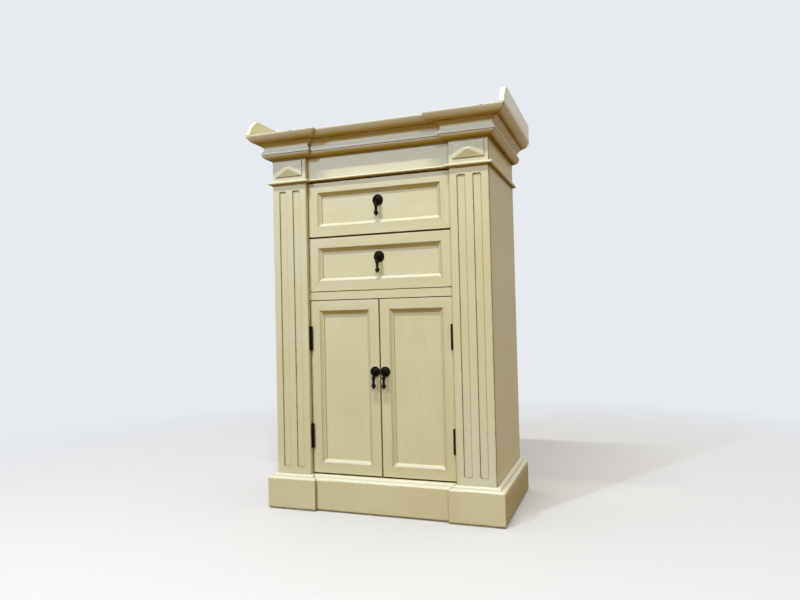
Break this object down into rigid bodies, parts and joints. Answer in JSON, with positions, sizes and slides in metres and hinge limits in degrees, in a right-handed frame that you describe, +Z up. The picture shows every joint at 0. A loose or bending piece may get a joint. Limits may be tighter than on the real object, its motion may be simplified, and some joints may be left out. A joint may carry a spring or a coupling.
{
  "type": "cupboard with drawers over doors",
  "caption": "Small painted cupboard: drawers over a pair of doors between fluted pilasters, under a stepped cornice with a low gallery.",
  "frame": {"origin": "middle of the footprint over all, on the floor", "axes": "+Z up, +X to the right as one faces the cupboard, the front faces -Y"},
  "size_m": [0.7028, 0.3934, 1.0553],
  "materials": {
    "case_paint": "ivory-cream satin paint on wood, lightly worn at the arrises",
    "moulding_paint": "ivory-cream satin paint on wood, brown glaze in the quirks, small chips",
    "front_paint": "ivory-cream satin paint on wood, brown glaze round the mouldings",
    "panel_paint": "ivory-cream satin paint on board",
    "inner_wood": "bare wood, unpainted inside",
    "plywood": "plain plywood",
    "pull_metal": "dark oil-rubbed bronze",
    "hinge_metal": "black painted iron",
    "catch_plastic": "brown moulded plastic"
  },
  "bodies": {
    "case": {"left_side_panel": "case_paint", "right_side_panel": "case_paint", "back_panel": "plywood", "cupboard_floor": "inner_wood", "dust_board": "inner_wood", "top_board": "case_paint", "left_pilaster": "case_paint", "right_pilaster": "case_paint", "frieze_board": "case_paint", "door_rail": "case_paint", "plinth_left": "moulding_paint", "plinth_center": "moulding_paint", "plinth_right": "moulding_paint", "bead_left": "moulding_paint", "bead_center": "moulding_paint", "bead_right": "moulding_paint", "cornice_left_side": "moulding_paint", "cornice_left_front": "moulding_paint", "cornice_center": "moulding_paint", "cornice_right_front": "moulding_paint", "cornice_right_side": "moulding_paint", "gallery_left": "case_paint", "gallery_right": "case_paint", "gallery_back": "case_paint", "left_runner_board": "inner_wood", "right_runner_board": "inner_wood", "cupboard_shelf": "inner_wood", "door_catch": "catch_plastic", "left_lower_hinge_case_leaf": "hinge_metal", "left_upper_hinge_case_leaf": "hinge_metal", "right_lower_hinge_case_leaf": "hinge_metal", "right_upper_hinge_case_leaf": "hinge_metal"},
    "upper_drawer": {"upper_drawer_frame": "front_paint", "upper_drawer_panel": "panel_paint", "upper_drawer_left_side": "inner_wood", "upper_drawer_right_side": "inner_wood", "upper_drawer_back": "inner_wood", "upper_drawer_bottom": "plywood", "upper_drawer_rose": "pull_metal"},
    "lower_drawer": {"lower_drawer_frame": "front_paint", "lower_drawer_panel": "panel_paint", "lower_drawer_left_side": "inner_wood", "lower_drawer_right_side": "inner_wood", "lower_drawer_back": "inner_wood", "lower_drawer_bottom": "plywood", "lower_drawer_rose": "pull_metal"},
    "left_door": {"left_door_frame": "front_paint", "left_door_panel": "panel_paint", "left_lower_hinge_door_leaf": "hinge_metal", "left_upper_hinge_door_leaf": "hinge_metal", "left_door_rose": "pull_metal"},
    "right_door": {"right_door_frame": "front_paint", "right_door_panel": "panel_paint", "right_lower_hinge_door_leaf": "hinge_metal", "right_upper_hinge_door_leaf": "hinge_metal", "right_door_rose": "pull_metal"},
    "upper_drawer_pull": {"upper_drawer_drop": "pull_metal"},
    "lower_drawer_pull": {"lower_drawer_drop": "pull_metal"},
    "left_door_pull": {"left_door_drop": "pull_metal"},
    "right_door_pull": {"right_door_drop": "pull_metal"}
  },
  "joints": [
    {"name": "upper_drawer_slide", "type": "slide", "parent": "case", "child": "upper_drawer", "axis": [0, -1, 0], "range_m": [0, 0.22]},
    {"name": "lower_drawer_slide", "type": "slide", "parent": "case", "child": "lower_drawer", "axis": [0, -1, 0], "range_m": [0, 0.22]},
    {"name": "left_door_hinge", "type": "hinge", "parent": "case", "child": "left_door", "pos_m": [-0.1959, -0.1359, 0.32525], "axis": [0, 0, -1], "range_deg": [0, 126]},
    {"name": "right_door_hinge", "type": "hinge", "parent": "case", "child": "right_door", "pos_m": [0.1959, -0.1359, 0.32525], "axis": [0, 0, 1], "range_deg": [0, 126]},
    {"name": "upper_drawer_pull_swing", "type": "hinge", "parent": "upper_drawer", "child": "upper_drawer_pull", "pos_m": [0, -0.1375, 0.81585], "axis": [-1, 0, 0], "range_deg": [-11, 111]},
    {"name": "lower_drawer_pull_swing", "type": "hinge", "parent": "lower_drawer", "child": "lower_drawer_pull", "pos_m": [0, -0.1375, 0.66725], "axis": [-1, 0, 0], "range_deg": [-11, 111]},
    {"name": "left_door_pull_swing", "type": "hinge", "parent": "left_door", "child": "left_door_pull", "pos_m": [-0.01405, -0.1463, 0.3673], "axis": [-1, 0, 0], "range_deg": [-11, 111]},
    {"name": "right_door_pull_swing", "type": "hinge", "parent": "right_door", "child": "right_door_pull", "pos_m": [0.01405, -0.1463, 0.3673], "axis": [-1, 0, 0], "range_deg": [-11, 111]}
  ]
}
